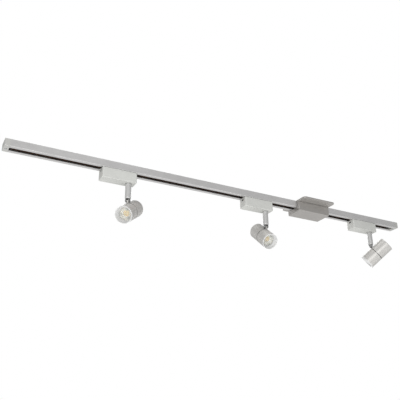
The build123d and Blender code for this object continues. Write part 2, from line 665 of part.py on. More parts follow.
def pivot_screw(x0, heading):
    """The tilt screw, through one ear of the fork and threaded into the other."""
    outside = FORK_EAR_Y[1] + FIT_GAP
    end = outside + PIVOT_HEAD_THICKNESS
    along_y = Rot(90, 0, 0)
    shank = Pos(0, (PIVOT_TIP - end) / 2, 0) * along_y * Cylinder(PIVOT_RADIUS, PIVOT_TIP + end)
    head_centre = -outside - PIVOT_HEAD_THICKNESS / 2
    head = Pos(0, head_centre, 0) * along_y * Cylinder(PIVOT_HEAD_RADIUS, PIVOT_HEAD_THICKNESS)
    slot = span((-PIVOT_HEAD_RADIUS, PIVOT_HEAD_RADIUS), (-end - 1, -end + 0.8), (-0.4, 0.4))
    return stem_frame(x0, heading) * (shank + head - slot)


# --- heads: lamp, built along its own axis and then put in place ---


def lamp_frame(x0, heading, tilt):
    """From the lamp's own axis to its place under the knuckle."""
    offset = Pos(-PIVOT_ALONG_LAMP, 0, -LAMP_RADIUS - PIVOT_ABOVE_LAMP)
    return stem_frame(x0, heading) * Rot(0, tilt, 0) * offset


def shell_bore():
    return LAMP_RADIUS - SHELL_WALL


def lamp_housing():
    """The rear shell, with the spigot that carries the barrel and the tongue for the knuckle."""
    shell = rod(LAMP_REAR, 0, LAMP_RADIUS)
    shell = fillet(shell.edges().sort_by(Axis.X)[0], LAMP_EDGE_RADIUS)
    shell -= rod(LAMP_REAR + REAR_WALL, 1, shell_bore())
    shell += pipe(SPIGOT_START, SPIGOT_END, shell_bore() - FIT_GAP, SPIGOT_BORE_RADIUS)
    shell += pipe(SPIGOT_START, 0, LAMP_RADIUS - 1, SPIGOT_BORE_RADIUS)
    shell -= pipe(0, SEAM_GAP, LAMP_RADIUS, SEAM_FLOOR_RADIUS)
    pivot_w = LAMP_RADIUS + PIVOT_ABOVE_LAMP
    tongue_x = (PIVOT_ALONG_LAMP - TONGUE_RADIUS, PIVOT_ALONG_LAMP + TONGUE_RADIUS)
    tongue_y = (-TONGUE_HALF_THICKNESS, TONGUE_HALF_THICKNESS)
    shell += span(tongue_x, tongue_y, (LAMP_RADIUS - 1, pivot_w))
    across = Pos(PIVOT_ALONG_LAMP, 0, pivot_w) * Rot(90, 0, 0)
    shell += across * Cylinder(TONGUE_RADIUS, 2 * TONGUE_HALF_THICKNESS)
    return shell - across * Cylinder(PIVOT_RADIUS + PIVOT_CLEARANCE, 4 * TONGUE_HALF_THICKNESS)


def lamp_barrel():
    return pipe(SEAM_GAP, LAMP_FRONT - BEZEL_LENGTH, LAMP_RADIUS, shell_bore())


def bezel():
    """The front ring: a thin rim, a long conical baffle down to the lens, and the lens's seat behind it."""
    shoulder = LAMP_FRONT - BEZEL_LENGTH + FIT_GAP
    ring = rod(shoulder, LAMP_FRONT, LAMP_RADIUS)
    ring = fillet(ring.edges().sort_by(Axis.X)[-1], BEZEL_EDGE_RADIUS)
    ring += rod(BEZEL_BACK, shoulder + 0.5, shell_bore() - FIT_GAP)
    ring -= rod(BEZEL_BACK - 1, LENS_FRONT + FIT_GAP, LENS_SEAT_RADIUS)
    ring -= cone(LENS_FRONT, LAMP_FRONT, BEZEL_NECK_RADIUS, BEZEL_MOUTH_RADIUS)
    return ring


def lens():
    return rod(LENS_FRONT - LENS_THICKNESS, LENS_FRONT, LENS_RADIUS)


def reflector():
    mouth = LENS_FRONT - LENS_THICKNESS - FIT_GAP
    throat = LED_BOARD_BACK + LED_BOARD_THICKNESS + FIT_GAP
    outer = cone(throat, mouth, REFLECTOR_THROAT_RADIUS, REFLECTOR_MOUTH_RADIUS)
    inner_throat = REFLECTOR_THROAT_RADIUS - REFLECTOR_WALL
    inner_mouth = REFLECTOR_MOUTH_RADIUS - REFLECTOR_WALL
    return outer - cone(throat, mouth, inner_throat, inner_mouth)


def led_board():
    """The round LED board with its light-emitting disc."""
    face = LED_BOARD_BACK + LED_BOARD_THICKNESS
    return rod(LED_BOARD_BACK, face, LED_BOARD_RADIUS) + rod(face - 0.1, face + LED_THICKNESS, LED_RADIUS)


def heat_sink():
    """The finned slug that stands on the rear wall and carries the LED board."""
    back = LAMP_REAR + REAR_WALL + FIT_GAP
    sink = rod(back, LED_BOARD_BACK - FIT_GAP, SINK_CORE_RADIUS)
    sink += rod(*SINK_PLATE, SINK_RADIUS)
    for turn in range(FIN_COUNT):
        fin_y = (-FIN_THICKNESS / 2, FIN_THICKNESS / 2)
        fin = span((back, SINK_PLATE[0] + 1), fin_y, (SINK_CORE_RADIUS - 1, SINK_RADIUS))
        sink += Rot((turn + 0.5) * 360 / FIN_COUNT, 0, 0) * fin
    return sink


def led_engine():
    """The LED board bonded to its heat sink, two separate solids."""
    return group([led_board(), heat_sink()])


def lamp_parts():
    return {
        "lamp_housing": lamp_housing(),
        "lamp_barrel": lamp_barrel(),
        "bezel": bezel(),
        "lens": lens(),
        "reflector": reflector(),
        "led_engine": led_engine(),
    }


def head_parts(x0, heading, tilt):
    parts = {
        "driver_housing": driver_housing(x0),
        "track_adapter": track_adapter(x0),
        "contact_blades": contact_blades(x0),
        "driver_board": driver_board(x0),
        "lid_screws": lid_screws(x0),
        "release_tab": release_tab(x0),
        "swivel_stem": swivel_stem(x0),
        "swivel_nut": swivel_nut(x0, heading),
        "knuckle_fork": knuckle_fork(x0, heading),
        "pivot_screw": pivot_screw(x0, heading),
    }
    frame = lamp_frame(x0, heading, tilt)
    for name, shape in lamp_parts().items():
        parts[name] = frame * shape
    return parts


def all_parts():
    parts = {
        "track_extrusion": track_extrusion(),
        "insulator_liners": insulator_liners(),
        "conductors": conductors(),
        "earth_strip": earth_strip(),
        "end_caps": end_caps(),
        "end_cap_screws": end_cap_screws(),
        "canopy_cover": canopy_cover(),
        "mounting_straps": mounting_straps(),
        "canopy_screws": canopy_screws(),
        "feed_connector": feed_connector(),
        "feed_contacts": feed_contacts(),
        "terminal_screws": terminal_screws(),
    }
    for name, x0, heading, tilt in HEADS:
        for piece, shape in head_parts(x0, heading, tilt).items():
            parts[f"{name}_{piece}"] = shape
    return parts


os.makedirs("parts", exist_ok=True)
for node, shape in all_parts().items():
    export_step(shape, f"parts/{node}.step")
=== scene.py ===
import json
import math

import bmesh
import bpy
from mathutils import Matrix, Vector


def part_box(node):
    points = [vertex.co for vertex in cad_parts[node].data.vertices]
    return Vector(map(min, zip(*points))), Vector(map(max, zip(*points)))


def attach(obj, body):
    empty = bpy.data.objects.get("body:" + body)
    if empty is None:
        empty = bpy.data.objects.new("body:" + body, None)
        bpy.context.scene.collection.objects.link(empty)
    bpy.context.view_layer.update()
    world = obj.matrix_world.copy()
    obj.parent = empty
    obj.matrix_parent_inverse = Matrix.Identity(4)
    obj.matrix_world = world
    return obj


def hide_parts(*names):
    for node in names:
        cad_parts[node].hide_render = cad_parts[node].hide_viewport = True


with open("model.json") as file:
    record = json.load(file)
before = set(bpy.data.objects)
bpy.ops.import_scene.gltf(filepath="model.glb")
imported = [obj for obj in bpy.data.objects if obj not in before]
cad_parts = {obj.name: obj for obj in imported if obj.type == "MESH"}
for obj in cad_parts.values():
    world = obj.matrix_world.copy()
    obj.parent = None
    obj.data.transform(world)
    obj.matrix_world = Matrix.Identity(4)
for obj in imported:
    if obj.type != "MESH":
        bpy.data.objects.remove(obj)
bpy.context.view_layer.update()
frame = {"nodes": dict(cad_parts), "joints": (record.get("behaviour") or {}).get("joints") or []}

# Everything is in metres, in the CAD model's frame: X along the track, Z up, origin on the ceiling plane.

HEADS = ("left", "middle", "right")

# --- camera and studio ---
CAMERA_LOCATION = (-0.7972, -1.2891, -0.6836)
CAMERA_FORWARD = (0.4376, 0.8074, 0.3959)
CAMERA_UP = (-0.1766, -0.3545, 0.9182)
CAMERA_LENS = 52.93
CAMERA_SENSOR = 36.0
FLOOR_HEIGHT = -2.4
FLOOR_RADIUS = 30.0
FLOOR_RINGS = 6
FLOOR_SEGMENTS = 32
FLOOR_GLOW = 0.24
BACKGROUND = 1.0
AMBIENT = 0.46

# name, place, point it is aimed at, width, height, watts
LIGHTS = (
    ("key_light", (-1.5, -1.7, -0.9), (-0.35, 0.0, -0.05), 1.3, 1.0, 34.0),
    ("under_light", (0.35, -0.6, -1.9), (0.15, 0.0, 0.0), 2.2, 1.4, 12.0),
    ("rim_light", (0.6, 1.8, 0.9), (0.1, 0.0, -0.05), 2.0, 1.0, 26.0),
    ("top_light", (-0.3, -0.5, 1.9), (0.0, 0.0, 0.0), 2.4, 1.2, 20.0),
)

# --- lamp optics, measured along the lamp's own axis from the seam, and out from that axis ---
LENS_MIDDLE = 0.0294
LENS_RADIUS = 0.0162
LENS_BACK = 0.0283
LENS_RIM_FRONT = 0.0303
LENS_CROWN = 0.0315
LENS_BACK_CHAMFER = 0.0003
LENS_FRONT_CHAMFER = 0.0002
LENS_RIM_WIDTH = 0.0012
LENS_DOME_INSET = 0.0014
LENS_RING_PITCH = 0.0022
LENS_RING_DEPTH = 0.00002
LENS_STEPS_PER_RING = 4
CUP_MOUTH = 0.0282
CUP_THROAT = 0.0193
CUP_MOUTH_RADIUS = 0.0149
CUP_THROAT_RADIUS = 0.0095
CUP_WALL = 0.0007
CUP_FACETS = 18
CUP_FACET_SEGMENTS = 6
CUP_FACET_DEPTH = 0.00012
CUP_BULGE = 0.0008
CUP_ROWS = 14
POST_COUNT = 3
POST_CIRCLE = 0.0118
POST_RADIUS = 0.0023
POST_TOP = 0.0316
POST_BASE = 0.0250
# A post's outline from base to top: place along the lamp, and share of the post's radius.
POST_OUTLINE = (
    (POST_BASE, 1.10),
    (POST_TOP - 0.0010, 1.00),
    (POST_TOP - 0.0003, 0.90),
    (POST_TOP, 0.65),
)
BOARD_BACK = 0.0175
BOARD_FACE = 0.0191
BOARD_RADIUS = 0.0140
BOARD_EDGE = 0.0002
DAM_RADIUS = 0.0085
DAM_HEIGHT = 0.0007
DAM_WIDTH = 0.0008
DAM_ROWS = 16
PHOSPHOR_FILL = 0.6
PHOSPHOR_CROWN = 0.0004
PHOSPHOR_ROWS = 7
PHOSPHOR_SUNK = 0.0001
SINK_BACK = -0.0403
SINK_PLATE = (-0.0070, -0.0035)
SINK_RADIUS = 0.0179
SINK_CORE_RADIUS = 0.0110
SINK_EDGE = 0.0004
SINK_TO_BOARD = 0.00005
FIN_COUNT = 12
FIN_THICKNESS = 0.0014
FIN_TIP_THICKNESS = 0.0010
FIN_INTO_PLATE = 0.0005
FIN_INTO_CORE = 0.0008
# Each face of a fin by the numbers of its corners.
FIN_FACES = ((0, 1, 3, 2), (4, 6, 7, 5), (0, 4, 5, 1), (2, 3, 7, 6), (0, 2, 6, 4), (1, 5, 7, 3))
ROUND_SEGMENTS = 96
POST_SEGMENTS = 32
SMOOTH_ANGLE = math.radians(32)

# --- the Mix node's sockets for colours, which share their names with its other sockets ---
MIX_FIRST = 6
MIX_SECOND = 7
MIX_RESULT = 2


# --- shader helpers ---


def start_material(name):
    """A new node material and its Principled shader."""
    material = bpy.data.materials.new(name)
    material.use_nodes = True
    return material.node_tree, material.node_tree.nodes["Principled BSDF"], material


def object_coordinates(tree, stretch=(1.0, 1.0, 1.0)):
    """Coordinates in metres that stay with the piece, stretched along each axis."""
    coordinates = tree.nodes.new("ShaderNodeTexCoord")
    mapping = tree.nodes.new("ShaderNodeMapping")
    mapping.inputs["Scale"].default_value = stretch
    tree.links.new(coordinates.outputs["Object"], mapping.inputs["Vector"])
    return mapping.outputs["Vector"]


def noise(tree, coordinates, scale, detail=3.0, roughness=0.55):
    """Cloudy noise, about 0.3 to 0.7."""
    texture = tree.nodes.new("ShaderNodeTexNoise")
    texture.inputs["Scale"].default_value = scale
    texture.inputs["Detail"].default_value = detail
    texture.inputs["Roughness"].default_value = roughness
    tree.links.new(coordinates, texture.inputs["Vector"])
    return texture.outputs["Fac"]


def cells(tree, coordinates, scale, feature="F1"):
    """Distance within a pattern of cells, to each cell's point or to its edge."""
    texture = tree.nodes.new("ShaderNodeTexVoronoi")
    texture.feature = feature
    texture.inputs["Scale"].default_value = scale
    tree.links.new(coordinates, texture.inputs["Vector"])
    return texture.outputs["Distance"]


def remap(tree, value, source, target):
    """Clamps a value to one range and carries it to another."""
    node = tree.nodes.new("ShaderNodeMapRange")
    node.inputs["From Min"].default_value = source[0]
    node.inputs["From Max"].default_value = source[1]
    node.inputs["To Min"].default_value = target[0]
    node.inputs["To Max"].default_value = target[1]
    tree.links.new(value, node.inputs["Value"])
    return node.outputs["Result"]


def combine(tree, operation, first, second):
    """A Math node on two values, each a number or another node's output."""
    node = tree.nodes.new("ShaderNodeMath")
    node.operation = operation
    for socket, value in zip(node.inputs, (first, second)):
        if isinstance(value, float):
            socket.default_value = value
        else:
            tree.links.new(value, socket)
    return node.outputs["Value"]


def mix_colours(tree, factor, first, second):
    """Blends two colours, each an RGB tuple or another node's colour."""
    node = tree.nodes.new("ShaderNodeMix")
    node.data_type = "RGBA"
    tree.links.new(factor, node.inputs["Factor"])
    for socket, colour in ((node.inputs[MIX_FIRST], first), (node.inputs[MIX_SECOND], second)):
        if isinstance(colour, tuple):
            socket.default_value = (*colour, 1.0)
        else:
            tree.links.new(colour, socket)
    return node.outputs[MIX_RESULT]


def add_bump(tree, height, strength, distance, under=None):
    """A bumped normal, laid over another one if under is given."""
    node = tree.nodes.new("ShaderNodeBump")
    node.inputs["Strength"].default_value = strength
    node.inputs["Distance"].default_value = distance
    tree.links.new(height, node.inputs["Height"])
    if under is not None:
        tree.links.new(under, node.inputs["Normal"])
    return node.outputs["Normal"]


def worn_and_highlit_edges(tree, radius, breakup):
    """Lighter edges, partly wear and partly a painted highlight: 0 on flat faces and up to 0.55 on edges,
    where the rounded normal turns away from the true one.
    """
    rounded = tree.nodes.new("ShaderNodeBevel")
    rounded.samples = 4
    rounded.inputs["Radius"].default_value = radius
    geometry = tree.nodes.new("ShaderNodeNewGeometry")
    dot = tree.nodes.new("ShaderNodeVectorMath")
    dot.operation = "DOT_PRODUCT"
    tree.links.new(rounded.outputs["Normal"], dot.inputs[0])
    tree.links.new(geometry.outputs["Normal"], dot.inputs[1])
    edge = remap(tree, dot.outputs["Value"], (0.985, 0.86), (0.0, 0.55))
    patches = remap(tree, breakup, (0.42, 0.62), (0.3, 1.0))
    return combine(tree, "MULTIPLY", edge, patches)


def crevices(tree, reach):
    """Painted shade from ambient occlusion: 0 on open surfaces, 1 deep in grooves and corners."""
    occlusion = tree.nodes.new("ShaderNodeAmbientOcclusion")
    occlusion.samples = 8
    occlusion.inputs["Distance"].default_value = reach
    return remap(tree, occlusion.outputs["AO"], (0.80, 0.30), (0.0, 1.0))


def connect(tree, value, shader, socket):
    """Links a node's output to one of the shader's sockets."""
    tree.links.new(value, shader.inputs[socket])


# --- materials ---

# The satin silver finishes: shares of the colour in dark grain, light grain and the painted shade of
# crevices, then lengths.
DARK_GRAIN = 0.94
LIGHT_GRAIN = 1.04
CREVICE_SHADE_SHARE = 0.30
EDGE_RADIUS = 0.0007
CREVICE_REACH = 0.005
DRAWN_ALONG_TRACK = (0.025, 1.0, 1.0)

SILVER = (0.605, 0.60, 0.597)
HEAD_SILVER = (0.605, 0.61, 0.585)
# Darker copy of the head paint for the lamp shells: painted shade.
LAMP_SHADED_SILVER = (0.54, 0.53, 0.51)
# Lighter copy of the head paint for the bezels: painted light.
BEZEL_LIT_SILVER = (0.64, 0.64, 0.635)
CANOPY_SILVER = (0.44, 0.425, 0.405)
CAP_SILVER = (0.52, 0.52, 0.50)
STEM_SILVER = (0.55, 0.55, 0.545)
KNUCKLE_GREY = (0.24, 0.24, 0.235)
BRIGHT_EDGE = (0.74, 0.74, 0.73)

MASK_GREEN = (0.012, 0.10, 0.035)
TRACE_GREEN = (0.03, 0.20, 0.06)
PAD_SILVER = (0.62, 0.62, 0.58)
DIE_BROWN = (0.34, 0.20, 0.03)

# Pairs of colours that a noise wanders between.
LENS_TINTS = ((0.90, 0.91, 0.88), (0.95, 0.95, 0.93))
REFLECTOR_TINTS = ((0.64, 0.64, 0.59), (0.72, 0.72, 0.67))
PHOSPHOR_TINTS = ((0.50, 0.33, 0.04), (0.60, 0.42, 0.08))
BOARD_TINTS = ((0.66, 0.64, 0.59), (0.74, 0.72, 0.67))
FLOOR_TINTS = ((0.86, 0.86, 0.86), (0.90, 0.90, 0.895))


def shade(colour, share, lift=0.0):
    """A colour times a share, plus a lift, no brighter than white."""
    return tuple(min(1.0, share * channel + lift) for channel in colour)


def satin_silver(name, colour, edge_wear_and_highlight_colour, metallic, roughness, brushed=False):
    """Silver paint or anodising: fine grain, cloudy tone, slightly polished edges lightened partly by wear
    and partly by a painted highlight, and painted shade in crevices.
    """
    tree, shader, material = start_material(name)
    plain = object_coordinates(tree)
    clouds = noise(tree, plain, scale=38.0, detail=4.0)
    smudges = noise(tree, plain, scale=9.0, detail=2.0)
    if brushed:
        drawn = object_coordinates(tree, DRAWN_ALONG_TRACK)
        grain = noise(tree, drawn, scale=2600.0, detail=3.0, roughness=0.6)
    else:
        grain = noise(tree, plain, scale=2400.0, detail=2.0, roughness=0.5)
    darker = shade(colour, DARK_GRAIN)
    lighter = shade(colour, LIGHT_GRAIN)
    cloudy = mix_colours(tree, remap(tree, clouds, (0.35, 0.65), (0.0, 1.0)), darker, lighter)
    grainy = mix_colours(tree, remap(tree, grain, (0.30, 0.70), (0.0, 1.0)), darker, lighter)
    toned = mix_colours(tree, remap(tree, smudges, (0.3, 0.7), (0.35, 0.65)), cloudy, grainy)
    # Edges lightened: partly wear, partly a painted highlight on the rounded edges.
    edges = worn_and_highlit_edges(tree, EDGE_RADIUS, clouds)
    edged = mix_colours(tree, edges, toned, edge_wear_and_highlight_colour)
    # Painted shade: grooves and corners darkened by ambient occlusion.
    crevice_shaded = mix_colours(tree, crevices(tree, CREVICE_REACH), edged, shade(colour, CREVICE_SHADE_SHARE))
    connect(tree, crevice_shaded, shader, "Base Color")
    shader.inputs["Metallic"].default_value = metallic
    smudged = remap(tree, smudges, (0.3, 0.7), (roughness - 0.05, roughness + 0.06))
    rough = combine(tree, "ADD", smudged, remap(tree, grain, (0.3, 0.7), (-0.04, 0.04)))
    polish = remap(tree, edges, (0.0, 1.0), (0.0, -0.12))
    connect(tree, combine(tree, "ADD", rough, polish), shader, "Roughness")
    orange_peel = add_bump(tree, noise(tree, plain, scale=420.0, detail=1.0), strength=0.05, distance=0.0001)
    bumps = add_bump(tree, grain, strength=0.12, distance=0.00003, under=orange_peel)
    connect(tree, bumps, shader, "Normal")
    return material


def moulded_plastic(name, colour, roughness, texture_scale, texture_strength):
    """Injection-moulded plastic with a spark-eroded texture and faint dust."""
    tree, shader, material = start_material(name)
    plain = object_coordinates(tree)
    texture = noise(tree, plain, scale=texture_scale, detail=3.0, roughness=0.6)
    dust = noise(tree, plain, scale=22.0, detail=4.0)
    dusty = shade(colour, 1.35, lift=0.01)
    tone = mix_colours(tree, remap(tree, dust, (0.4, 0.75), (0.0, 1.0)), colour, dusty)
    connect(tree, tone, shader, "Base Color")
    rough = remap(tree, dust, (0.3, 0.7), (roughness - 0.06, roughness + 0.08))
    connect(tree, rough, shader, "Roughness")
    connect(tree, add_bump(tree, texture, strength=texture_strength, distance=0.0001), shader, "Normal")
    return material


def bare_metal(name, colour, tarnish, roughness, stretch=(1.0, 1.0, 1.0)):
    """Drawn, stamped or cast metal with tarnish blotches; stretch draws its fine lines out along an axis."""
    tree, shader, material = start_material(name)
    plain = object_coordinates(tree)
    blotches = noise(tree, plain, scale=130.0, detail=5.0, roughness=0.6)
    lines = noise(tree, object_coordinates(tree, stretch), scale=1900.0, detail=3.0)
    stained = mix_colours(tree, remap(tree, blotches, (0.42, 0.72), (0.0, 0.8)), colour, tarnish)
    tone = mix_colours(tree, remap(tree, lines, (0.2, 0.5), (0.35, 0.0)), stained, shade(colour, 0.78))
    connect(tree, tone, shader, "Base Color")
    shader.inputs["Metallic"].default_value = 1.0
    worn = remap(tree, blotches, (0.3, 0.7), (roughness - 0.08, roughness + 0.14))
    connect(tree, worn, shader, "Roughness")
    connect(tree, add_bump(tree, lines, strength=0.25, distance=0.00008), shader, "Normal")
    return material


def circuit_board_green():
    """Solder mask over copper traces, with small pads."""
    tree, shader, material = start_material("circuit_board_green")
    plain = object_coordinates(tree)
    traces = cells(tree, object_coordinates(tree, (1.0, 2.0, 1.0)), scale=260.0, feature="DISTANCE_TO_EDGE")
    on_trace = remap(tree, traces, (0.04, 0.07), (1.0, 0.0))
    pads = remap(tree, cells(tree, plain, scale=330.0), (0.10, 0.13), (1.0, 0.0))
    mask = mix_colours(tree, on_trace, MASK_GREEN, TRACE_GREEN)
    connect(tree, mix_colours(tree, pads, mask, PAD_SILVER), shader, "Base Color")
    connect(tree, remap(tree, pads, (0.0, 1.0), (0.38, 0.25)), shader, "Roughness")
    connect(tree, add_bump(tree, on_trace, strength=0.4, distance=0.0001), shader, "Normal")
    return material


def clear_polycarbonate():
    """The lens: clear but slightly milky, with a faint moulding haze."""
    tree, shader, material = start_material("clear_polycarbonate")
    plain = object_coordinates(tree)
    haze = noise(tree, plain, scale=160.0)
    ripples = noise(tree, plain, scale=700.0, detail=1.0)
    connect(tree, mix_colours(tree, haze, *LENS_TINTS), shader, "Base Color")
    shader.inputs["IOR"].default_value = 1.49
    shader.inputs["Specular IOR Level"].default_value = 1.0
    connect(tree, remap(tree, haze, (0.3, 0.7), (0.15, 0.21)), shader, "Alpha")
    connect(tree, remap(tree, haze, (0.3, 0.7), (0.08, 0.16)), shader, "Roughness")
    connect(tree, add_bump(tree, ripples, strength=0.03, distance=0.0001), shader, "Normal")
    return material


def metallised_reflector():
    """Vacuum-metallised plastic: bright, satin and slightly clouded."""
    tree, shader, material = start_material("metallised_reflector")
    plain = object_coordinates(tree)
    cloud = noise(tree, plain, scale=90.0)
    grain = noise(tree, plain, scale=1500.0, detail=2.0)
    connect(tree, mix_colours(tree, cloud, *REFLECTOR_TINTS), shader, "Base Color")
    shader.inputs["Metallic"].default_value = 0.30
    connect(tree, remap(tree, cloud, (0.3, 0.7), (0.28, 0.40)), shader, "Roughness")
    connect(tree, add_bump(tree, grain, strength=0.10, distance=0.00008), shader, "Normal")
    return material


def led_phosphor():
    """The yellow phosphor of an unlit LED, with its die pattern just showing through."""
    tree, shader, material = start_material("led_phosphor_yellow")
    plain = object_coordinates(tree)
    dies = cells(tree, plain, scale=900.0)
    grain = noise(tree, plain, scale=1800.0, detail=2.0)
    yellow = mix_colours(tree, remap(tree, grain, (0.3, 0.7), (0.0, 1.0)), *PHOSPHOR_TINTS)
    patterned = mix_colours(tree, remap(tree, dies, (0.0, 0.45), (0.35, 0.0)), yellow, DIE_BROWN)
    connect(tree, patterned, shader, "Base Color")
    shader.inputs["Subsurface Weight"].default_value = 0.15
    shader.inputs["Subsurface Scale"].default_value = 0.0006
    connect(tree, remap(tree, grain, (0.3, 0.7), (0.32, 0.45)), shader, "Roughness")
    connect(tree, add_bump(tree, dies, strength=0.15, distance=0.0001), shader, "Normal")
    return material


def white_solder_mask():
    """The LED board's white solder mask, faintly speckled."""
    tree, shader, material = start_material("white_solder_mask")
    speckle = noise(tree, object_coordinates(tree), scale=900.0)
    connect(tree, mix_colours(tree, speckle, *BOARD_TINTS), shader, "Base Color")
    connect(tree, remap(tree, speckle, (0.3, 0.7), (0.34, 0.48)), shader, "Roughness")
    connect(tree, add_bump(tree, speckle, strength=0.15, distance=0.00006), shader, "Normal")
    return material


def floor_white():
    """A pale floor that glows faintly, as a lit floor looks."""
    tree, shader, material = start_material("floor_white")
    mottle = noise(tree, object_coordinates(tree), scale=3.0)
    connect(tree, mix_colours(tree, mottle, *FLOOR_TINTS), shader, "Base Color")
    shader.inputs["Roughness"].default_value = 0.8
    shader.inputs["Emission Color"].default_value = (1.0, 1.0, 1.0, 1.0)
    shader.inputs["Emission Strength"].default_value = FLOOR_GLOW
    return material


# The finish for each material slot in the CAD model.
FINISHES = {
    "satin_nickel_track": satin_silver(
        "track_silver", SILVER, BRIGHT_EDGE, metallic=0.70, roughness=0.42, brushed=True
    ),
    "satin_nickel_head": satin_silver(
        "head_silver", HEAD_SILVER, (0.72, 0.72, 0.70), metallic=0.35, roughness=0.55
    ),
    "canopy_finish": satin_silver(
        "canopy_silver", CANOPY_SILVER, (0.58, 0.57, 0.55), metallic=0.70, roughness=0.40
    ),
    "cap_finish": satin_silver(
        "cap_silver", CAP_SILVER, (0.70, 0.70, 0.68), metallic=0.45, roughness=0.46
    ),
    "stem_steel": satin_silver(
        "stem_silver", STEM_SILVER, BRIGHT_EDGE, metallic=0.50, roughness=0.44
    ),
    "dark_knuckle": satin_silver(
        "knuckle_grey", KNUCKLE_GREY, (0.42, 0.42, 0.41), metallic=0.60, roughness=0.42
    ),
    "black_plastic": moulded_plastic(
        "liner_black", (0.012, 0.010, 0.009), roughness=0.48, texture_scale=1400.0, texture_strength=0.35
    ),
    "copper": bare_metal(
        "copper_strip", (0.90, 0.48, 0.30), (0.42, 0.17, 0.10), roughness=0.30, stretch=(0.02, 1.0, 1.0)
    ),
    "brass_contact": bare_metal(
        "brass_contact_sheet",
        (0.86, 0.66, 0.30),
        (0.50, 0.36, 0.14),
        roughness=0.28,
        stretch=(1.0, 0.05, 1.0),
    ),
    "zinc_steel": bare_metal(
        "zinc_plated_steel", (0.66, 0.67, 0.68), (0.50, 0.51, 0.50), roughness=0.32, stretch=(1.0, 1.0, 0.1)
    ),
    "circuit_board": circuit_board_green(),
    "clear_lens": clear_polycarbonate(),
    "reflector_metal": metallised_reflector(),
    "led_phosphor": led_phosphor(),
}

# Finishes for pieces that share a slot with others: the lamp shells take a darker copy of the head paint as
# painted shade, the bezels a lighter copy as painted light.
LAMP_SHADED_FINISH = satin_silver("lamp_shaded_silver", LAMP_SHADED_SILVER, (0.66, 0.66, 0.64), metallic=0.50, roughness=0.46)
BEZEL_LIT_FINISH = satin_silver("bezel_lit_silver", BEZEL_LIT_SILVER, (0.70, 0.70, 0.69), metallic=0.30, roughness=0.50)
SOLDER_MASK = white_solder_mask()
CAST_ALUMINIUM = bare_metal("cast_aluminium", (0.80, 0.81, 0.82), (0.62, 0.62, 0.62), roughness=0.42)
SILICONE = moulded_plastic(
    "white_silicone", (0.50, 0.47, 0.40), roughness=0.44, texture_scale=900.0, texture_strength=0.1
)
POST_PLASTIC = moulded_plastic(
    "post_plastic", (0.36, 0.37, 0.34), roughness=0.42, texture_scale=1200.0, texture_strength=0.2
)


def finish_cad_nodes():
    """Each CAD node gets its slot's finish, apart from the lamps' shells and bezels, which get a darker copy
    of the head paint as painted shade and a lighter one as painted light.
    """
    for cad_object in frame["nodes"].values():
        for slot in cad_object.material_slots:
            slot.material = FINISHES[slot.material.name]
    for head in HEADS:
        for shell in ("lamp_housing", "lamp_barrel"):
            frame["nodes"][f"{head}_{shell}"].material_slots[0].material = LAMP_SHADED_FINISH
        frame["nodes"][f"{head}_bezel"].material_slots[0].material = BEZEL_LIT_FINISH


# --- mesh helpers ---


def lamp_matrix(head):
    """From the lamp's own axes (X towards the light, Z towards the knuckle) to the frame."""
    lens_middle = middle(f"{head}_lens")
    along = (lens_middle - middle(f"{head}_lamp_barrel")).normalized()
    seam = lens_middle - along * LENS_MIDDLE
    across = next(Vector(joint["axis"]) for joint in frame["joints"] if joint["name"] == f"{head}_tilt")
    across = (across - along * across.dot(along)).normalized()
    up = along.cross(across)
    rotation = Matrix((along, across, up)).transposed()
    return Matrix.Translation(seam) @ rotation.to_4x4()


def middle(node):
    """The middle of a CAD node's box."""
    low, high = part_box(node)
    return (low + high) / 2


def ring(mesh, along, radius, segments, wave=None):
    """A ring of points round the X axis; wave gives an extra radius for each angle."""
    points = []
    for index in range(segments):
        angle = 2 * math.pi * index / segments
        reach = radius + (wave(angle) if wave else 0.0)
        points.append(mesh.verts.new((along, reach * math.cos(angle), reach * math.sin(angle))))
    return points


def join_rings(mesh, first, second):
    """A band of faces between two rings with the same number of points."""
    count = len(first)
    for index in range(count):
        after = (index + 1) % count
        mesh.faces.new((first[index], first[after], second[after], second[index]))


def cap_ring(mesh, points, along):
    """Closes a ring to one point on the axis."""
    tip = mesh.verts.new((along, 0.0, 0.0))
    for index, point in enumerate(points):
        mesh.faces.new((point, points[(index + 1) % len(points)], tip))


def lathe(mesh, profile, segments):
    """A closed solid of revolution from (along, radius) pairs, capped at both ends."""
    previous = ring(mesh, *profile[0], segments)
    cap_ring(mesh, previous, profile[0][0])
    for along, radius in profile[1:]:
        current = ring(mesh, along, radius, segments)
        join_rings(mesh, previous, current)
        previous = current
    cap_ring(mesh, previous, profile[-1][0])


def finished_object(name, mesh, placement, material):
    """Turns bmesh data into an object in the frame, with smooth faces and crisp edges."""
    bmesh.ops.recalc_face_normals(mesh, faces=mesh.faces)
    bmesh.ops.transform(mesh, matrix=placement, verts=mesh.verts)
    data = bpy.data.meshes.new(name)
    mesh.to_mesh(data)
    mesh.free()
    data.shade_smooth()
    data.set_sharp_from_angle(angle=SMOOTH_ANGLE)
    data.materials.append(material)
    piece = bpy.data.objects.new(name, data)
    bpy.context.collection.objects.link(piece)
    return piece


# --- lamp optics ---


def lens_profile():
    """Front face from the rim to the crown, with shallow rings, as (along, radius) pairs."""
    profile = [
        (LENS_RIM_FRONT, LENS_RADIUS - LENS_FRONT_CHAMFER),
        (LENS_RIM_FRONT, LENS_RADIUS - LENS_RIM_WIDTH),
    ]
    radius = LENS_RADIUS - LENS_DOME_INSET
    step = LENS_RING_PITCH / LENS_STEPS_PER_RING
    while radius > step:
        share = radius / LENS_RADIUS
        dome = LENS_RIM_FRONT + (LENS_CROWN - LENS_RIM_FRONT) * (1 - share * share)
        ripple = LENS_RING_DEPTH * math.cos(2 * math.pi * radius / LENS_RING_PITCH)
        profile.append((dome + ripple, radius))
        radius -= step
    return profile


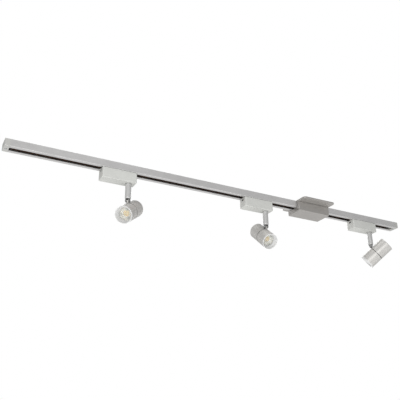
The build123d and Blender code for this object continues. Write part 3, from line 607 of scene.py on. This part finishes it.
def make_lens(head, placement):
    """The domed front lens, flat at the back."""
    mesh = bmesh.new()
    back = ring(mesh, LENS_BACK, LENS_RADIUS - LENS_BACK_CHAMFER, ROUND_SEGMENTS)
    cap_ring(mesh, back, LENS_BACK)
    previous = back
    edges = [
        (LENS_BACK + LENS_BACK_CHAMFER, LENS_RADIUS),
        (LENS_RIM_FRONT - LENS_FRONT_CHAMFER, LENS_RADIUS),
    ]
    for along, radius in edges + lens_profile():
        current = ring(mesh, along, radius, ROUND_SEGMENTS)
        join_rings(mesh, previous, current)
        previous = current
    cap_ring(mesh, previous, LENS_CROWN)
    piece = finished_object(f"{head}_front_lens", mesh, placement, FINISHES["clear_lens"])
    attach(piece, f"{head}_lamp")
    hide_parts(f"{head}_lens")


def cup_radius(share):
    """Radius of the reflector's bowl from its throat (0) to its mouth (1)."""
    straight = CUP_THROAT_RADIUS + (CUP_MOUTH_RADIUS - CUP_THROAT_RADIUS) * share
    return straight + CUP_BULGE * math.sin(math.pi * share)


def make_reflector(head, placement):
    """A bowl with shallow flutes down its bright side and a plain back."""
    mesh = bmesh.new()
    length = CUP_MOUTH - CUP_THROAT
    segments = CUP_FACETS * CUP_FACET_SEGMENTS

    def flute(angle):
        return -CUP_FACET_DEPTH * abs(math.sin(angle * CUP_FACETS / 2))

    loops = []
    for row in range(CUP_ROWS + 1):
        share = row / CUP_ROWS
        loops.append(ring(mesh, CUP_THROAT + length * share, cup_radius(share), segments, flute))
    for row in range(CUP_ROWS, -1, -1):
        share = row / CUP_ROWS
        loops.append(ring(mesh, CUP_THROAT + length * share, cup_radius(share) + CUP_WALL, segments))
    for index, loop in enumerate(loops):
        join_rings(mesh, loop, loops[(index + 1) % len(loops)])
    piece = finished_object(f"{head}_reflector_cup", mesh, placement, FINISHES["reflector_metal"])
    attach(piece, f"{head}_lamp")
    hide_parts(f"{head}_reflector")


def make_posts(head, placement):
    """The three round-topped posts that locate the lens."""
    mesh = bmesh.new()
    for index in range(POST_COUNT):
        turn = 2 * math.pi * index / POST_COUNT + math.pi / POST_COUNT
        shift = Vector((0.0, POST_CIRCLE * math.cos(turn), POST_CIRCLE * math.sin(turn)))
        start = len(mesh.verts)
        lathe(mesh, [(along, POST_RADIUS * share) for along, share in POST_OUTLINE], POST_SEGMENTS)
        mesh.verts.ensure_lookup_table()
        bmesh.ops.translate(mesh, verts=mesh.verts[start:], vec=shift)
    piece = finished_object(f"{head}_lens_posts", mesh, placement, POST_PLASTIC)
    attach(piece, f"{head}_lamp")


def make_led_board(head, placement):
    """The round white board that carries the LED."""
    mesh = bmesh.new()
    profile = (
        (BOARD_BACK, BOARD_RADIUS - BOARD_EDGE),
        (BOARD_BACK + BOARD_EDGE, BOARD_RADIUS),
        (BOARD_FACE - BOARD_EDGE, BOARD_RADIUS),
        (BOARD_FACE, BOARD_RADIUS - BOARD_EDGE),
    )
    lathe(mesh, profile, ROUND_SEGMENTS)
    return finished_object(f"{head}_led_substrate", mesh, placement, SOLDER_MASK)


def make_led_dam(head, placement):
    """The bead of white silicone round the phosphor."""
    mesh = bmesh.new()
    loops = []
    for row in range(DAM_ROWS):
        turn = 2 * math.pi * row / DAM_ROWS
        along = BOARD_FACE + DAM_HEIGHT / 2 * (1 + math.cos(turn))
        loops.append(ring(mesh, along, DAM_RADIUS + DAM_WIDTH / 2 * math.sin(turn), ROUND_SEGMENTS))
    for index, loop in enumerate(loops):
        join_rings(mesh, loop, loops[(index + 1) % len(loops)])
    return finished_object(f"{head}_led_dam", mesh, placement, SILICONE)


def make_phosphor(head, placement):
    """The slightly crowned pool of phosphor inside the dam."""
    mesh = bmesh.new()
    level = BOARD_FACE + DAM_HEIGHT * PHOSPHOR_FILL
    profile = [(BOARD_FACE - PHOSPHOR_SUNK, DAM_RADIUS)]
    for row in range(PHOSPHOR_ROWS):
        share = 1 - row / PHOSPHOR_ROWS
        profile.append((level + PHOSPHOR_CROWN * (1 - share * share), DAM_RADIUS * share))
    lathe(mesh, profile, ROUND_SEGMENTS)
    return finished_object(f"{head}_led_emitter", mesh, placement, FINISHES["led_phosphor"])


def add_fin(mesh, turn):
    """One tapered fin, standing out from the sink's core behind its plate."""
    front = SINK_PLATE[0] + FIN_INTO_PLATE
    root = SINK_CORE_RADIUS - FIN_INTO_CORE
    corners = []
    for along in (SINK_BACK, front):
        for reach, thickness in ((root, FIN_THICKNESS), (SINK_RADIUS, FIN_TIP_THICKNESS)):
            for side in (-0.5, 0.5):
                corners.append(mesh.verts.new((along, reach, side * thickness)))
    for face in FIN_FACES:
        mesh.faces.new([corners[index] for index in face])
    bmesh.ops.rotate(mesh, cent=(0, 0, 0), matrix=Matrix.Rotation(turn, 3, "X"), verts=corners)


def make_heat_sink(head, placement):
    """A core with a round plate at the front and fins behind it."""
    mesh = bmesh.new()
    plate_back, plate_front = SINK_PLATE
    profile = (
        (SINK_BACK, SINK_CORE_RADIUS),
        (plate_back, SINK_CORE_RADIUS),
        (plate_back, SINK_RADIUS - SINK_EDGE),
        (plate_back + SINK_EDGE, SINK_RADIUS),
        (plate_front - SINK_EDGE, SINK_RADIUS),
        (plate_front, SINK_RADIUS - SINK_EDGE),
        (plate_front, SINK_CORE_RADIUS),
        (BOARD_BACK - SINK_TO_BOARD, SINK_CORE_RADIUS),
    )
    lathe(mesh, profile, ROUND_SEGMENTS)
    for index in range(FIN_COUNT):
        add_fin(mesh, 2 * math.pi * (index + 0.5) / FIN_COUNT)
    return finished_object(f"{head}_finned_sink", mesh, placement, CAST_ALUMINIUM)


def make_led_engine(head, placement):
    """LED board, dam, phosphor and heat sink in place of the plain CAD pair."""
    board = make_led_board(head, placement)
    others = [make(head, placement) for make in (make_led_dam, make_phosphor, make_heat_sink)]
    for piece in (board, *others):
        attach(piece, f"{head}_lamp")
    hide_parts(f"{head}_led_engine")


# --- stage ---


def make_floor():
    """A plain pale disc well below the track, as a room's floor is."""
    mesh = bmesh.new()
    previous = [mesh.verts.new((0.0, 0.0, FLOOR_HEIGHT))]
    for step in range(1, FLOOR_RINGS + 1):
        radius = FLOOR_RADIUS * (step / FLOOR_RINGS) ** 2
        points = []
        for index in range(FLOOR_SEGMENTS):
            angle = 2 * math.pi * index / FLOOR_SEGMENTS
            points.append(mesh.verts.new((radius * math.cos(angle), radius * math.sin(angle), FLOOR_HEIGHT)))
        for index in range(FLOOR_SEGMENTS):
            after = (index + 1) % FLOOR_SEGMENTS
            if len(previous) == 1:
                mesh.faces.new((points[index], points[after], previous[0]))
            else:
                mesh.faces.new((points[index], points[after], previous[after], previous[index]))
        previous = points
    floor = finished_object("studio_floor", mesh, Matrix.Identity(4), floor_white())


def make_world():
    """White for the camera, softer as a light."""
    world = bpy.data.worlds.new("studio_world")
    bpy.context.scene.world = world
    world.use_nodes = True
    tree = world.node_tree
    seen = tree.nodes.new("ShaderNodeBackground")
    seen.inputs["Color"].default_value = (1.0, 1.0, 1.0, 1.0)
    seen.inputs["Strength"].default_value = BACKGROUND
    lit = tree.nodes["Background"]
    lit.inputs["Color"].default_value = (1.0, 1.0, 1.0, 1.0)
    lit.inputs["Strength"].default_value = AMBIENT
    rays = tree.nodes.new("ShaderNodeLightPath")
    choice = tree.nodes.new("ShaderNodeMixShader")
    tree.links.new(rays.outputs["Is Camera Ray"], choice.inputs["Fac"])
    # The mix's two shader sockets share one name, so they are taken by number.
    tree.links.new(lit.outputs["Background"], choice.inputs[1])
    tree.links.new(seen.outputs["Background"], choice.inputs[2])
    tree.links.new(choice.outputs["Shader"], tree.nodes["World Output"].inputs["Surface"])


def make_lights():
    """Soft area lights, each aimed at its target."""
    for name, place, target, width, height, power in LIGHTS:
        data = bpy.data.lights.new(name, "AREA")
        data.shape = "RECTANGLE"
        data.size = width
        data.size_y = height
        data.energy = power
        light = bpy.data.objects.new(name, data)
        light.location = place
        aim = Vector(target) - Vector(place)
        light.rotation_euler = aim.to_track_quat("-Z", "Y").to_euler()
        bpy.context.collection.objects.link(light)


def make_camera():
    """A camera below and in front of the track's left end, looking up at it."""
    data = bpy.data.cameras.new("studio_camera")
    data.sensor_width = CAMERA_SENSOR
    data.lens = CAMERA_LENS
    data.clip_start = 0.01
    camera = bpy.data.objects.new("studio_camera", data)
    forward = Vector(CAMERA_FORWARD).normalized()
    right = forward.cross(Vector(CAMERA_UP)).normalized()
    up = right.cross(forward)
    axes = Matrix((right, up, -forward)).transposed()
    camera.matrix_world = Matrix.Translation(CAMERA_LOCATION) @ axes.to_4x4()
    bpy.context.collection.objects.link(camera)
    bpy.context.scene.camera = camera


bpy.context.scene.view_settings.view_transform = "Standard"
make_camera()
make_world()
make_lights()
make_floor()
finish_cad_nodes()
for head_name in HEADS:
    lamp_axes = lamp_matrix(head_name)
    make_lens(head_name, lamp_axes)
    make_reflector(head_name, lamp_axes)
    make_posts(head_name, lamp_axes)
    make_led_engine(head_name, lamp_axes)
